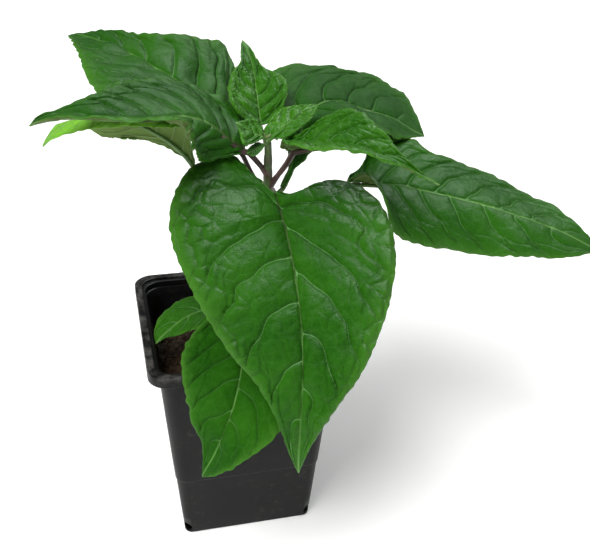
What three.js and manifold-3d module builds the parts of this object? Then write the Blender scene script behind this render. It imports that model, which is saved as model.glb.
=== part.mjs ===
// Potted chilli pepper plant: a young plant with broad pointed leaves in a square plastic nursery pot.
// Sizes are in millimetres with +Z up. The origin is the middle of the pot's underside, +X runs to the
// right along the pot's front face and +Y runs to the back. Angles are in degrees.
import * as THREE from "three";
import Module from "manifold-3d";

const wasm = await Module();
wasm.setup();

// Pot
const POT_HEIGHT = 106;
const RIM_SIDE = 90;
const RIM_SKIRT = 5;
const RIM_OVERHANG = 4.9;
const RIM_FLANGE = 3.4;
const RIM_ROUND = 0.6;
const BASE_SIDE = 63;
const WALL = 1.2;
const FLOOR = 1.6;
const LEDGE_DROP = 4.4;
const LEDGE_WIDTH = 1.8;
const LEDGE_SLOPE = 4;
const STACK_LINE_HEIGHT = 37;
const STACK_LINE_STEP = 0.35;
const RIM_CORNER = 9;
const BASE_CORNER = 5;
const CORNER_SHARE = 0.12;
const CORNER_STEPS = 5;
const BASE_CHAMFER = 0.8;
const STACK_LINE_BEVEL = 0.5;
const SKIRT_FILLET = 0.4;
const LEDGE_DRAFT = 0.2;
const LEDGE_FALL = 0.3;
const DRAIN_RADIUS = 2.4;
const DRAIN_INSET = 9;
const DRAIN_REACH = 4;
const DRAIN_HEIGHTS = [2.4, 5.6];

// Soil
const SOIL_LEVEL = 86;
const SOIL_SWELL = 1.6;
const SOIL_RINGS = 6;
const SOIL_TWIST = 0.5;
const FIT_GAP = 0.3;
const STEM_GAP = 0.36;

// Stem
const STEM_PATH = [[7, 3, 62], [9, 2, 90], [12, 1, 125], [14.3, 0, 160], [14.3, 0, 188]];
const STEM_RADII = [2.9, 2.8, 2.5, 2.1, 1.5];
const SHOOT_BASE = [14.3, 0, 188.4];
const SHOOT_HEIGHT = 5;
const SHOOT_RADIUS = 1.3;
const STEM_SIDES = 10;
const STEM_STEPS = 16;
const STEM_RIB = 0.07;
const NODE_SWELL = 0.25;
const NODE_COUNT = 4.5;

// Leaves
const BLADE_THICKNESS = 0.7;
const KEEL_DEPTH = 1.1;
const PETIOLE_RADIUS = 1.25;
const PETIOLE_STEPS = 6;
const PETIOLE_NECK = 0.25;
const STALK_RISE = 0.7;
const STALK_LEAVE = 0.4;
const STALK_ARRIVE = 0.35;
const STALK_SWEEP = 164;
const YOUNG_STALK = 0.6;
const VEIN_SLANT = 0.62;
const VEIN_BEND = 0.35;
const MIDRIB_STEPS = 80;
const RIPPLE_SHARE = 1.1;
const RIPPLE_TURN = 2.4;
const LEAST_BEND = 1e-6;

// Each leaf: where its blade starts, its midrib's heading (0 is +X, 90 is +Y) and pitch from base to
// tip, its roll, the rise of each half across from the midrib (fold, then a further curl at half the
// nominal width), and each half's outline as [along the midrib, out from it] from the base to the tip.
const LEAVES = [
  {
    name: "leaf_front", root: 158, base: [15, -11, 173], length: 128, width: 92,
    heading: [-84, -95, -124], pitch: [-27, -52, -98], roll: [-3, -8, -4],
    foldLeft: [5], foldRight: [17], curlLeft: [-13], curlRight: [-18],
    rows: 16, columns: 5, quilt: 0.7,
    left: [[0, 1], [5, 10], [1, 19], [-1, 27], [3, 36], [12, 43], [28, 45], [50, 39], [67, 31],
      [81, 23], [92, 15], [109, 6], [128, 0]],
    right: [[0, 1], [-7, 7], [-13, 11], [-20, 15], [-19, 24], [-12, 36], [4, 46], [21, 48], [42, 43],
      [59, 36], [73, 28], [87, 17], [102, 9], [128, 0]],
  },
  {
    name: "leaf_low_front", root: 104, base: [-1, -26, 121], length: 74, width: 52,
    heading: [-97, -120, -170], pitch: [-27, -45, -62], roll: [3, 11, 7],
    foldLeft: [15], foldRight: [13], curlLeft: [-17], curlRight: [-7],
    rows: 12, columns: 4, quilt: 0.5,
    left: [[0, 1], [1, 10], [6, 18], [15, 24], [24, 26], [35, 25], [46, 22], [56, 16], [66, 9], [74, 0]],
    right: [[0, 1], [0, 9], [5, 18], [13, 23], [23, 26], [33, 24], [43, 20], [53, 15], [64, 6], [74, 0]],
  },
  {
    name: "leaf_low_inner", root: 98, base: [-3, 3, 110], length: 41, width: 27,
    heading: [186, 201, 222], pitch: [3, -12, -27], roll: [11, 11, 17],
    foldLeft: [7], foldRight: [6], curlLeft: [-14], curlRight: [-20],
    rows: 9, columns: 3, quilt: 0.25,
    left: [[0, 2], [6, 8], [14, 11], [22, 9], [30, 6], [36, 2], [41, 0]],
    right: [[0, 1], [4, 6], [11, 10], [19, 12], [29, 9], [36, 5], [41, 0]],
  },
  {
    name: "leaf_back_left", root: 168, via: [[7, 4, 174]], base: [3, 11, 186], length: 112, width: 70,
    heading: [152, 133, 120], pitch: [53, 15, -10], roll: [0, 6, 4],
    foldLeft: [9, 16, 9], foldRight: [0, 14, 7], curlLeft: [-26], curlRight: [-16],
    rows: 15, columns: 5, quilt: 0.7,
    left: [[0, 2], [5, 12], [12, 20], [20, 25], [30, 30], [40, 35], [49, 37], [62, 30], [73, 22],
      [86, 14], [99, 7], [112, 0]],
    right: [[0, 1], [3, 11], [10, 21], [21, 31], [35, 38], [45, 40], [52, 31], [69, 16], [86, 10],
      [99, 5], [112, 0]],
  },
  {
    name: "leaf_left", root: 177, rise: 1.1, stalk: 1.2, base: [4, 0, 189], length: 97, width: 56,
    heading: [200, 204, 204, 205, 180, 180], pitch: [38, 40, 7, 12, 4, -16], roll: [13, 11, 9],
    foldLeft: [-86, -67, -42, 21, 27, 30, 45], foldRight: [27, 12, 19, 19],
    curlLeft: [-9, -4, -2, -12, -5], curlRight: [-1],
    rows: 15, columns: 5, quilt: 0.5,
    left: [[0, 1], [3, 4], [10, 10], [18, 15], [28, 15], [38, 16], [46, 22], [54, 26], [65, 18],
      [79, 10], [89, 3], [97, 0]],
    right: [[0, 1], [-4, 8], [-4, 16], [1, 22], [11, 23], [24, 23], [37, 24], [50, 22], [65, 16],
      [80, 8], [92, 3], [97, 0]],
  },
  {
    name: "leaf_left_under", root: 153, base: [-17, -1, 183], length: 74, width: 44,
    heading: [168, 178, 188, 194, 195], pitch: [58, 36, 23, -12, -53], roll: [-44, -45, -37, -13, 0],
    foldLeft: [26, 37, 27, 14, 3], foldRight: [-10, -24, -21, 8],
    curlLeft: [-53, -97, -105, -95, -47], curlRight: [-14],
    rows: 13, columns: 5, quilt: 0.3,
    left: [[2, 1], [6, 3], [13, 10], [17, 18], [24, 23], [36, 23], [44, 20], [51, 16], [60, 11], [74, 0]],
    right: [[0, 1], [8, 3], [18, 5], [26, 7], [36, 11], [45, 14], [54, 9], [63, 5], [74, 0]],
  },
  {
    name: "leaf_back_right", root: 163, base: [22, 4, 168], length: 102, width: 64,
    heading: [29, 47, 16, 1, -6], pitch: [55, 59, -11, -23, -31], roll: [-6, -12, -16],
    foldLeft: [25, 19, 14], foldRight: [9, 4, -2], curlLeft: [-14], curlRight: [-11],
    rows: 16, columns: 5, quilt: 0.6,
    left: [[0, 1], [5, 1], [10, 1], [15, 3], [21, 6], [27, 12], [34, 20], [40, 27], [46, 26], [56, 24],
      [66, 26], [76, 28], [84, 25], [93, 18], [102, 0]],
    right: [[0, 1], [4, 2], [10, 3], [15, 6], [20, 9], [28, 14], [38, 17], [50, 18], [62, 17],
      [75, 16], [89, 10], [102, 0]],
  },
  {
    name: "leaf_right_upper", root: 170, via: [[20, -2, 179], [24, -6, 186]], stalk: 1.2,
    base: [23, -9, 191], length: 67, width: 44,
    heading: [-41, -37, -28, -17], pitch: [23, 7, -20, -25], roll: [1, -1, 4],
    foldLeft: [42, 35, 24], foldRight: [41, 20, 6], curlLeft: [0], curlRight: [-48],
    rows: 13, columns: 4, quilt: 0.4,
    left: [[0, 1], [-5, 4], [-4, 6], [4, 7], [12, 13], [21, 18], [28, 16], [36, 11], [43, 7],
      [53, 2], [67, 0]],
    right: [[0, 1], [-3, 3], [-2, 6], [4, 12], [12, 17], [22, 15], [33, 10], [42, 8], [53, 3], [67, 0]],
  },
  {
    name: "leaf_right", root: 157, rise: 0.1, base: [51, 0, 170], length: 126, width: 66,
    heading: [-3, -18, -13, -14, -6], pitch: [-3, -8, -15, -20, -31], roll: [-5, -5, -12],
    foldLeft: [23, 23, 10, 4, 30], foldRight: [88, 5, -18, -32, -25, -29, -25],
    curlLeft: [2], curlRight: [-89, -20],
    rows: 16, columns: 5, quilt: 0.7,
    left: [[0, 1], [2, 4], [6, 8], [9, 13], [12, 23], [19, 29], [28, 29], [37, 24], [53, 25],
      [76, 24], [98, 19], [111, 10], [126, 0]],
    right: [[0, 1], [3, 4], [5, 8], [7, 14], [12, 19], [19, 24], [29, 26], [41, 26], [54, 24],
      [72, 22], [92, 17], [109, 11], [126, 0]],
  },
  {
    name: "leaf_crown", root: 182, via: [[16, 5, 187]], stalk: 0.8,
    base: [13, 9, 196], length: 41, width: 27,
    heading: [94, 90, 116], pitch: [56, 43, 46], roll: [-4, -2, -5],
    foldLeft: [10], foldRight: [15], curlLeft: [0], curlRight: [0],
    rows: 12, columns: 4, quilt: 0.45,
    left: [[0, 1], [2, 7], [7, 12], [11, 13], [16, 13], [22, 11], [26, 9], [29, 6], [37, 3], [41, 0]],
    right: [[0, 1], [1, 6], [5, 10], [9, 12], [15, 14], [21, 12], [25, 6], [30, 3], [36, 2], [41, 0]],
  },
];

// The young leaves that are grown together at the stem's tip
const YOUNG_LEAVES = [
  {
    root: 191, base: [15, -2, 194], length: 28, width: 16,
    heading: [16, 24, 30], pitch: [31, 23, 9], roll: [-1, -2, 0],
    foldLeft: [17, 14], foldRight: [4, 5], curlLeft: [-8], curlRight: [-23],
    rows: 8, columns: 3, quilt: 0.3,
    left: [[0, 1], [3, 5], [6, 8], [13, 9], [17, 7], [23, 3], [28, 0]],
    right: [[1, 1], [2, 5], [5, 7], [12, 7], [19, 6], [24, 3], [28, 0]],
  },
  {
    root: 191, base: [12, 0, 194], length: 14, width: 14,
    heading: [187, 182], pitch: [24, 41], roll: [5, 6],
    foldLeft: [-30, -31], foldRight: [34, 28], curlLeft: [0], curlRight: [0],
    rows: 6, columns: 3, quilt: 0.25,
    left: [[0, 1], [3, 4], [6, 7], [9, 9], [11, 4], [14, 0]],
    right: [[0, 1], [1, 4], [4, 7], [8, 6], [11, 3], [14, 0]],
  },
  {
    root: 190, base: [12, -1, 191], length: 9, width: 9,
    heading: [213, 203], pitch: [-12, -14], roll: [-1, 1],
    foldLeft: [-18, -17], foldRight: [9, 7], curlLeft: [0], curlRight: [0],
    rows: 4, columns: 2, quilt: 0.1,
    left: [[0, 1], [2, 2], [5, 3], [8, 3], [9, 0]],
    right: [[0, 2], [1, 3], [4, 3], [7, 2], [9, 0]],
  },
  {
    root: 191, base: [14, -2, 193], length: 10, width: 9,
    heading: [12, 19], pitch: [42, 30], roll: [-2, -1],
    foldLeft: [26, 15], foldRight: [15, 9], curlLeft: [0], curlRight: [0],
    rows: 5, columns: 2, quilt: 0.1,
    left: [[0, 1], [2, 5], [6, 6], [9, 3], [10, 0]],
    right: [[0, 1], [2, 3], [6, 3], [9, 2], [10, 0]],
  },
];

const toRadians = THREE.MathUtils.degToRad;

// A smooth value at t, from 0 to 1, through evenly spaced numbers.
function through(values, t) {
  const last = values.length - 1;
  if (last === 0) return values[0];
  const place = Math.min(Math.max(t, 0), 1) * last;
  const i = Math.min(Math.floor(place), last - 1);
  const f = place - i;
  const [p1, p2] = [values[i], values[i + 1]];
  const p0 = i > 0 ? values[i - 1] : 2 * p1 - p2;
  const p3 = i + 2 <= last ? values[i + 2] : 2 * p2 - p1;
  const square = 2 * p0 - 5 * p1 + 4 * p2 - p3;
  const cube = 3 * p1 - p0 - 3 * p2 + p3;
  return 0.5 * (2 * p1 + (p2 - p0) * f + square * f * f + cube * f * f * f);
}

// A smooth point at t through evenly spaced points of two or three numbers.
function throughPoints(points, t) {
  return points[0].map((_, axis) => through(points.map((p) => p[axis]), t));
}

function solidOf(vertices, faces) {
  return new wasm.Manifold(
    new wasm.Mesh({
      numProp: 3,
      vertProperties: new Float32Array(vertices.flat()),
      triVerts: new Uint32Array(faces.flat()),
    }),
  );
}

function geometryOf(solid) {
  const mesh = solid.getMesh();
  const geometry = new THREE.BufferGeometry();
  geometry.setAttribute("position", new THREE.BufferAttribute(mesh.vertProperties, 3));
  geometry.setIndex(new THREE.BufferAttribute(mesh.triVerts, 1));
  geometry.computeVertexNormals();
  return geometry;
}

// A closed solid whose skin joins rings of equally many points, seen anticlockwise from the last ring.
// The first ring is closed by a fan about its middle, and so is the last unless it is a single point.
function loft(rings) {
  const vertices = rings.flat();
  const count = rings[0].length;
  const faces = [];
  const middleOf = (ring) => ring.reduce((sum, p) => sum.map((v, k) => v + p[k] / ring.length), [0, 0, 0]);
  let start = 0;
  rings.forEach((ring, r) => {
    const next = rings[r + 1];
    if (!next) return;
    for (let i = 0; i < count; i++) {
      const j = (i + 1) % count;
      const [a, b] = [start + i, start + j];
      if (next.length === 1) {
        faces.push([a, b, start + count]);
      } else {
        faces.push([a, b, b + count], [a, b + count, a + count]);
      }
    }
    start += count;
  });
  const capStart = vertices.push(middleOf(rings[0])) - 1;
  for (let i = 0; i < count; i++) faces.push([capStart, (i + 1) % count, i]);
  if (rings.at(-1).length > 1) {
    const capEnd = vertices.push(middleOf(rings.at(-1))) - 1;
    for (let i = 0; i < count; i++) faces.push([capEnd, start + i, start + ((i + 1) % count)]);
  }
  return solidOf(vertices, faces);
}

// A rounded square ring at one height, anticlockwise from above.
function squareRing(halfSide, corner, z) {
  const ring = [];
  const inner = halfSide - corner;
  for (const [sx, sy, start] of [[1, 1, 0], [-1, 1, 90], [-1, -1, 180], [1, -1, 270]]) {
    for (let step = 0; step <= CORNER_STEPS; step++) {
      const angle = toRadians(start + (90 * step) / CORNER_STEPS);
      ring.push([sx * inner + corner * Math.cos(angle), sy * inner + corner * Math.sin(angle), z]);
    }
  }
  return ring;
}

// The pot's outer half side and corner radius at a height below the rim.
function potHalfSide(z) {
  const top = RIM_SIDE / 2 - RIM_OVERHANG;
  const share = z / (POT_HEIGHT - RIM_SKIRT);
  const step = z > STACK_LINE_HEIGHT ? STACK_LINE_STEP : 0;
  return BASE_SIDE / 2 + (top - BASE_SIDE / 2 - STACK_LINE_STEP) * share + step;
}

// The half side of the space inside the wall at a height, from the floor to under the ledge.
function insideHalfSide(z) {
  const top = POT_HEIGHT - LEDGE_DROP - LEDGE_SLOPE;
  const [low, high] = [potHalfSide(FLOOR) - WALL, potHalfSide(top) - WALL];
  return low + ((high - low) * (z - FLOOR)) / (top - FLOOR);
}

function potCorner(z) {
  return BASE_CORNER + ((RIM_CORNER - BASE_CORNER) * z) / POT_HEIGHT;
}

// A round bar along a line between two points.
function bar(from, to, radius, sides) {
  const [start, end] = [new THREE.Vector3(...from), new THREE.Vector3(...to)];
  const direction = end.clone().sub(start).normalize();
  const turn = new THREE.Quaternion().setFromUnitVectors(new THREE.Vector3(0, 0, 1), direction);
  const rings = [start, end].map((centre) =>
    Array.from({ length: sides }, (_, i) => {
      const angle = (2 * Math.PI * i) / sides;
      const spoke = new THREE.Vector3(radius * Math.cos(angle), radius * Math.sin(angle), 0);
      return spoke.applyQuaternion(turn).add(centre).toArray();
    }),
  );
  return loft(rings);
}

// A tapered square pot of thin plastic: a flanged rim with a skirt, an inner ledge under the rim, a
// stacking line on the wall and a drain hole at each corner of the base.
function potSolid() {
  const rim = RIM_SIDE / 2;
  const skirtInside = rim - WALL;
  const neck = POT_HEIGHT - RIM_SKIRT;
  const flangeInside = rim - RIM_FLANGE;
  const ledgeOutside = flangeInside - LEDGE_DRAFT;
  const ledgeInside = ledgeOutside - LEDGE_WIDTH;
  const ledge = POT_HEIGHT - LEDGE_DROP;
  const stackTop = STACK_LINE_HEIGHT + STACK_LINE_BEVEL;
  const profile = [
    [potHalfSide(0) - BASE_CHAMFER, 0],
    [potHalfSide(0), BASE_CHAMFER],
    [potHalfSide(STACK_LINE_HEIGHT), STACK_LINE_HEIGHT],
    [potHalfSide(stackTop), stackTop],
    [potHalfSide(neck), neck],
    [potHalfSide(neck), POT_HEIGHT - WALL - SKIRT_FILLET],
    [skirtInside, POT_HEIGHT - WALL],
    [skirtInside, neck],
    [rim, neck],
    [rim, POT_HEIGHT - RIM_ROUND],
    [rim - RIM_ROUND, POT_HEIGHT],
    [flangeInside + RIM_ROUND, POT_HEIGHT],
    [flangeInside, POT_HEIGHT - RIM_ROUND],
    [ledgeOutside, ledge],
    [ledgeInside, ledge - LEDGE_FALL],
    [insideHalfSide(ledge - LEDGE_SLOPE), ledge - LEDGE_SLOPE],
    [insideHalfSide(FLOOR), FLOOR],
  ];
  const rings = profile.map(([half, z]) => squareRing(half, potCorner(z) - (rim - half) * CORNER_SHARE, z));
  return [[1, 1], [-1, 1], [-1, -1], [1, -1]].reduce(
    (pot, [sx, sy]) => pot.subtract(drainSolid(sx, sy)),
    loft(rings),
  );
}

// The round cut of one corner's drain hole, through the wall just over the floor.
function drainSolid(sx, sy) {
  const [near, far] = [BASE_SIDE / 2 - DRAIN_INSET, BASE_SIDE / 2 + DRAIN_REACH];
  const [low, high] = DRAIN_HEIGHTS;
  return bar([sx * near, sy * near, low], [sx * far, sy * far, high], DRAIN_RADIUS, 10);
}

// A repeatable number from 0 to 1 for a pair of whole numbers.
function scatter(i, j) {
  const value = Math.sin(i * 127.1 + j * 311.7 + 17.3) * 43758.5453;
  return value - Math.floor(value);
}

// Soil that fills the pot up to its level, lumpy on top, with a plain hole that the stem stands in.
function soilSolid(stemHole) {
  const [low, high] = [FLOOR + FIT_GAP, SOIL_LEVEL].map((z) => {
    const half = insideHalfSide(z) - FIT_GAP;
    return squareRing(half, potCorner(z) - (RIM_SIDE / 2 - half) * CORNER_SHARE, z);
  });
  const rings = [low, high];
  for (let k = 1; k < SOIL_RINGS; k++) {
    const share = 1 - k / SOIL_RINGS;
    const turn = (SOIL_TWIST * k) / high.length;
    rings.push(
      high.map(([x, y], i) => [
        (x * Math.cos(turn) - y * Math.sin(turn)) * share,
        (x * Math.sin(turn) + y * Math.cos(turn)) * share,
        SOIL_LEVEL + SOIL_SWELL * (0.5 - share + scatter(i, k)),
      ]),
    );
  }
  return loft(rings).subtract(stemHole);
}

// The stem's centre line and radius, thickened by a clearance for the hole and the leaf stalks' ends.
function stemSolid(clearance = 0) {
  const rings = Array.from({ length: STEM_STEPS + 1 }, (_, k) => {
    const t = k / STEM_STEPS;
    const [x, y, z] = throughPoints(STEM_PATH, t);
    const swell = NODE_SWELL * t * Math.max(0, Math.sin(2 * Math.PI * NODE_COUNT * t));
    const radius = through(STEM_RADII, t) + swell + clearance;
    const lift = k === 0 ? -clearance : k === STEM_STEPS ? clearance : 0;
    return Array.from({ length: STEM_SIDES }, (__, i) => {
      const angle = (2 * Math.PI * i) / STEM_SIDES;
      const rib = 1 + STEM_RIB * Math.cos(5 * angle);
      return [x + radius * rib * Math.cos(angle), y + radius * rib * Math.sin(angle), z + lift];
    });
  });
  return loft(rings);
}

function stemPointAt(z) {
  let best = [...STEM_PATH[0]];
  for (let k = 0; k <= 100; k++) {
    const point = throughPoints(STEM_PATH, k / 100);
    if (Math.abs(point[2] - z) < Math.abs(best[2] - z)) best = point;
  }
  return new THREE.Vector3(best[0], best[1], z);
}

// The midrib's direction and the blade's sideways and upward directions at a share of its length.
function leafFrame(leaf, share) {
  const heading = toRadians(through(leaf.heading, share));
  const pitch = toRadians(through(leaf.pitch, share));
  const roll = toRadians(through(leaf.roll, share));
  const forward = new THREE.Vector3(
    Math.cos(pitch) * Math.cos(heading), Math.cos(pitch) * Math.sin(heading), Math.sin(pitch),
  );
  const level = new THREE.Vector3(Math.sin(heading), -Math.cos(heading), 0);
  const lifted = level.clone().cross(forward);
  const side = level.clone().multiplyScalar(Math.cos(roll)).addScaledVector(lifted, Math.sin(roll));
  const up = lifted.multiplyScalar(Math.cos(roll)).addScaledVector(level, -Math.sin(roll));
  return { forward, side, up };
}

function midribOf(leaf) {
  const points = [new THREE.Vector3(...leaf.base)];
  const step = leaf.length / MIDRIB_STEPS;
  for (let k = 0; k < MIDRIB_STEPS; k++) {
    const { forward } = leafFrame(leaf, (k + 0.5) / MIDRIB_STEPS);
    points.push(points[k].clone().addScaledVector(forward, step));
  }
  return points;
}

// The blade's middle surface: a point along the midrib and out from it, left of it when out is negative.
function bladePoint(leaf, midrib, along, out) {
  const share = along / leaf.length;
  const { forward, side, up } = leafFrame(leaf, share);
  const place = Math.min(Math.max(share, 0), 1) * MIDRIB_STEPS;
  const k = Math.min(Math.floor(place), MIDRIB_STEPS - 1);
  const point = midrib[k].clone().lerp(midrib[k + 1], place - k);
  if (share < 0) point.addScaledVector(forward, along);
  const isRight = out > 0;
  const fold = toRadians(through(isRight ? leaf.foldRight : leaf.foldLeft, share));
  const bend = toRadians(through(isRight ? leaf.curlRight : leaf.curlLeft, share)) / (leaf.width / 2);
  const curl = Math.abs(bend) < LEAST_BEND ? LEAST_BEND : bend;
  const reach = Math.abs(out);
  const across = (Math.sin(fold + curl * reach) - Math.sin(fold)) / curl;
  const rise = (Math.cos(fold) - Math.cos(fold + curl * reach)) / curl;
  return point.addScaledVector(side, Math.sign(out) * across).addScaledVector(up, rise);
}

// Where each row of the blade meets the midrib and the two margins, from the base to near the tip.
function bladeRows(leaf) {
  const rows = [];
  const least = leaf.length / (5 * leaf.rows);
  let foot = -least;
  for (let r = 0; r < leaf.rows; r++) {
    const t = r / leaf.rows;
    const left = throughPoints(leaf.left, t);
    const right = throughPoints(leaf.right, t);
    const wanted = (left[0] + right[0] - VEIN_SLANT * (left[1] + right[1])) / 2;
    foot = Math.max(foot + least, wanted);
    rows.push({ foot, left, right });
  }
  return rows;
}

// One row's points from the left margin over the midrib to the right margin, as [along, out, share].
function rowPoints(leaf, row) {
  const points = [];
  const bend = 1 + VEIN_BEND * Math.min(1, (3 * row.foot) / leaf.length);
  for (let c = -leaf.columns; c <= leaf.columns; c++) {
    const share = Math.abs(c) / leaf.columns;
    const [along, out] = c < 0 ? row.left : row.right;
    points.push([row.foot + (along - row.foot) * share ** bend, Math.sign(c) * out * share, share]);
  }
  return points;
}

// A leaf: a stalk that leaves the stem, and a blade with sunken side veins between raised panels.
function leafSolid(leaf) {
  const midrib = midribOf(leaf);
  const rows = bladeRows(leaf);
  const at = (along, out) => bladePoint(leaf, midrib, along, out);
  const blade = rows.map((row, r) => {
    const top = [];
    const bottom = [];
    const narrow = Math.min(1, r / 2, (leaf.rows - r) / 3);
    for (const [along, out, share] of rowPoints(leaf, row)) {
      const towards = out === 0 ? 0.5 : 0.5 * Math.sign(out);
      const alongEdge = at(along + 0.5, out).sub(at(along - 0.5, out));
      const acrossEdge = at(along, out + Math.abs(towards)).sub(at(along, out - Math.abs(towards)));
      const normal = acrossEdge.cross(alongEdge).normalize();
      const panel = (r % 2 === 0 ? -1 : 1) * leaf.quilt * Math.sin(Math.PI * share ** 0.8) * narrow;
      const wave = Math.sin(RIPPLE_TURN * r + Math.sign(out)) * share ** 3;
      const ripple = leaf.quilt * RIPPLE_SHARE * wave * narrow;
      const keel = share === 0 ? KEEL_DEPTH * (1 - r / leaf.rows) : 0;
      const middle = at(along, out).addScaledVector(normal, panel + ripple);
      top.push(middle.clone().addScaledVector(normal, BLADE_THICKNESS / 2).toArray());
      bottom.unshift(middle.addScaledVector(normal, -BLADE_THICKNESS / 2 - keel).toArray());
    }
    return [...top, ...bottom];
  });
  const tip = [midrib.at(-1).toArray()];
  return loft([...stalkRings(leaf, midrib), ...blade, tip]);
}

// The stalk's rings, from the middle of the stem to the foot of the blade.
function stalkRings(leaf, midrib) {
  const start = stemPointAt(leaf.root);
  const end = midrib[0];
  const { forward, side } = leafFrame(leaf, 0);
  const reach = start.distanceTo(end);
  const outward = end.clone().sub(start).setZ(0).normalize().setZ(leaf.rise ?? STALK_RISE).normalize();
  const leave = start.clone().addScaledVector(outward, reach * STALK_LEAVE);
  const arrive = end.clone().addScaledVector(forward, -reach * STALK_ARRIVE);
  const [first = leave, second = arrive] = (leaf.via ?? []).map((point) => new THREE.Vector3(...point));
  const path = new THREE.CubicBezierCurve3(start, first, second, end);
  const count = 2 * leaf.columns + 1;
  return Array.from({ length: PETIOLE_STEPS }, (_, k) => {
    const t = k / PETIOLE_STEPS;
    const point = path.getPoint(t);
    const tangent = path.getTangent(t);
    const across = side.clone().addScaledVector(tangent, -side.dot(tangent)).normalize();
    const up = across.clone().cross(tangent);
    const radius = PETIOLE_RADIUS * (leaf.stalk ?? 1) * (1.15 - PETIOLE_NECK * Math.sin(Math.PI * t));
    return Array.from({ length: 2 * count }, (__, i) => {
      const sweep = (STALK_SWEEP * (i % count)) / (count - 1);
      const angle = toRadians(i < count ? 90 + STALK_SWEEP / 2 - sweep : STALK_SWEEP / 2 - 90 - sweep);
      return point
        .clone()
        .addScaledVector(across, radius * Math.cos(angle))
        .addScaledVector(up, radius * Math.sin(angle))
        .toArray();
    });
  });
}

// The growing tip: young leaves on a short shoot that carries the stem on.
function shootTipSolid() {
  const [x, y, z] = SHOOT_BASE;
  const shoot = bar([x, y, z], [x, y, z + SHOOT_HEIGHT], SHOOT_RADIUS, 10);
  const young = YOUNG_LEAVES.map((leaf) => leafSolid({ ...leaf, stalk: YOUNG_STALK }));
  const grown = young.reduce((tip, leaf) => tip.add(leaf), shoot);
  return grown.decompose().sort((a, b) => b.volume() - a.volume())[0];
}

function blackPlastic() {
  return new THREE.MeshStandardMaterial({ color: 0x1d1e20, roughness: 0.45, metalness: 0 });
}

function darkSoil() {
  return new THREE.MeshStandardMaterial({ color: 0x2b1d14, roughness: 0.95, metalness: 0 });
}

function stemSkin() {
  return new THREE.MeshStandardMaterial({ color: 0x4a5a2c, roughness: 0.6, metalness: 0 });
}

function grownLeaf() {
  return new THREE.MeshStandardMaterial({ color: 0x2c6b1e, roughness: 0.4, metalness: 0 });
}

function youngLeaf() {
  return new THREE.MeshStandardMaterial({ color: 0x6aa52a, roughness: 0.45, metalness: 0 });
}

function pieceOf(name, solid, material) {
  const mesh = new THREE.Mesh(geometryOf(solid), material);
  mesh.name = name;
  return mesh;
}

const stemHole = stemSolid(STEM_GAP);
const pottedPlant = new THREE.Group();
pottedPlant.add(pieceOf("pot", potSolid(), blackPlastic()));
pottedPlant.add(pieceOf("soil", soilSolid(stemHole), darkSoil()));
pottedPlant.add(pieceOf("stem", stemSolid(), stemSkin()));
for (const leaf of LEAVES) {
  pottedPlant.add(pieceOf(leaf.name, leafSolid(leaf).subtract(stemHole), grownLeaf()));
}
pottedPlant.add(pieceOf("shoot_tip", shootTipSolid(), youngLeaf()));

export default pottedPlant;
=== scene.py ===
import math

import bmesh
import bpy
import numpy as np
from mathutils import Matrix


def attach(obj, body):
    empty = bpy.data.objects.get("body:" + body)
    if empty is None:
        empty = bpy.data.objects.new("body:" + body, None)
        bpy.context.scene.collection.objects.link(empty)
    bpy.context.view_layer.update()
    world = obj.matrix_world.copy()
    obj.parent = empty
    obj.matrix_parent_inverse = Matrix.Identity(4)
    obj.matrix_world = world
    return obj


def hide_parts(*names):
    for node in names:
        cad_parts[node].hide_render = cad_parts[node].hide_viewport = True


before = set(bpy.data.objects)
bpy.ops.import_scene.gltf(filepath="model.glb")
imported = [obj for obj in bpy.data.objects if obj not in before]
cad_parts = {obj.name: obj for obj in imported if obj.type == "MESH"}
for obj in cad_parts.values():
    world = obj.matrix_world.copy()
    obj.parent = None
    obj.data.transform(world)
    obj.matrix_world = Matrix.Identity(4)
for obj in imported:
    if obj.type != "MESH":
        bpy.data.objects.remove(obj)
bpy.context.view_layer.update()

MM = 0.001

# Pot
POT_HEIGHT = 106
RIM_SIDE = 90
RIM_SKIRT = 5
RIM_OVERHANG = 4.9
RIM_FLANGE = 3.4
BASE_SIDE = 63
WALL = 1.2
FLOOR = 1.6
LEDGE_DROP = 4.4
LEDGE_WIDTH = 1.8
LEDGE_SLOPE = 4
STACK_LINE_HEIGHT = 37
STACK_LINE_STEP = 0.35
STACK_LINE_BEVEL = 0.5
BASE_CHAMFER = 0.8
SKIRT_FILLET = 0.4
LEDGE_DRAFT = 0.2
LEDGE_FALL = 0.3
RIM_CORNER = 9
BASE_CORNER = 5
CORNER_SHARE = 0.12
CORNER_STEPS = 12
SIDE_STEPS = 16
DRAIN_RADIUS = 2.4
DRAIN_INSET = 9
DRAIN_REACH = 4
DRAIN_HEIGHTS = (2.4, 5.6)
DRAIN_SIDES = 32
WALL_SWAY = 0.12
EDGE_ROUND = 0.5

# Soil
SOIL_LEVEL = 86
SOIL_GRID = 130
SOIL_GAP = 0.35
SOIL_SWELL = 0.8
# The soil surface's bumps: wavelength, height and seed of each kind
SOIL_BUMPS = ((22, 0.7, 41), (9, 0.55, 42), (3.4, 0.4, 43), (1.6, 0.25, 44))
CRUMBS = 850
CRUMB_SEED = 17
CRUMB_MARGIN = 2.5
CRUMB_LUMPS = 0.28
FIBRE_SHARE = 0.1
FIBRE_SHAPE = (2.7, 0.315, 0.27)

# Stem
STEM_PATH = [(7, 3, 62), (9, 2, 90), (12, 1, 125), (14.3, 0, 160), (14.3, 0, 188), (14.3, 0, 193)]
STEM_RADII = [2.9, 2.8, 2.5, 2.1, 1.6, 1.0]
STEM_NODES = (98, 104, 153, 158, 164, 170, 177, 183)
STEM_STEPS = 420
STEM_SIDES = 40
STEM_RIBS = 5
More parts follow.
